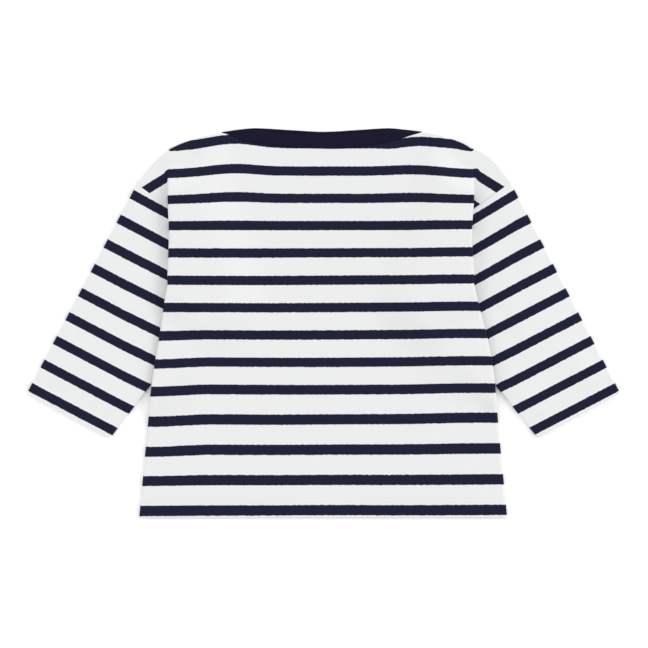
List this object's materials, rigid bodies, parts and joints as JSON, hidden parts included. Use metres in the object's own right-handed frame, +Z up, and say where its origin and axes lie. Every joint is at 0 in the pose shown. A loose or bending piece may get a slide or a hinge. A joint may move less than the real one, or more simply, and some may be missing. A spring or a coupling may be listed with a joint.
{
  "type": "breton striped t-shirt",
  "caption": "Baby's long-sleeved boat-neck top in navy and white striped jersey, laid flat with its shoulders tucked and its sleeves turned down.",
  "frame": {"origin": "middle of the top's outline, on the surface that it lies on", "axes": "+X across the chest to the right of the picture, +Y from the hem to the neck, +Z up from the surface"},
  "size_m": [0.4858, 0.3189, 0.0087],
  "materials": {
    "striped_jersey": "white cotton jersey with knitted-in navy stripes, matt, fine wales",
    "navy_rib": "dark navy cotton rib, matt, folded and sewn on"
  },
  "bodies": {
    "root": {"front": "striped_jersey", "back": "striped_jersey", "sleeve_left": "striped_jersey", "sleeve_right": "striped_jersey", "neck_band_front": "navy_rib", "neck_band_back": "navy_rib"}
  },
  "joints": []
}
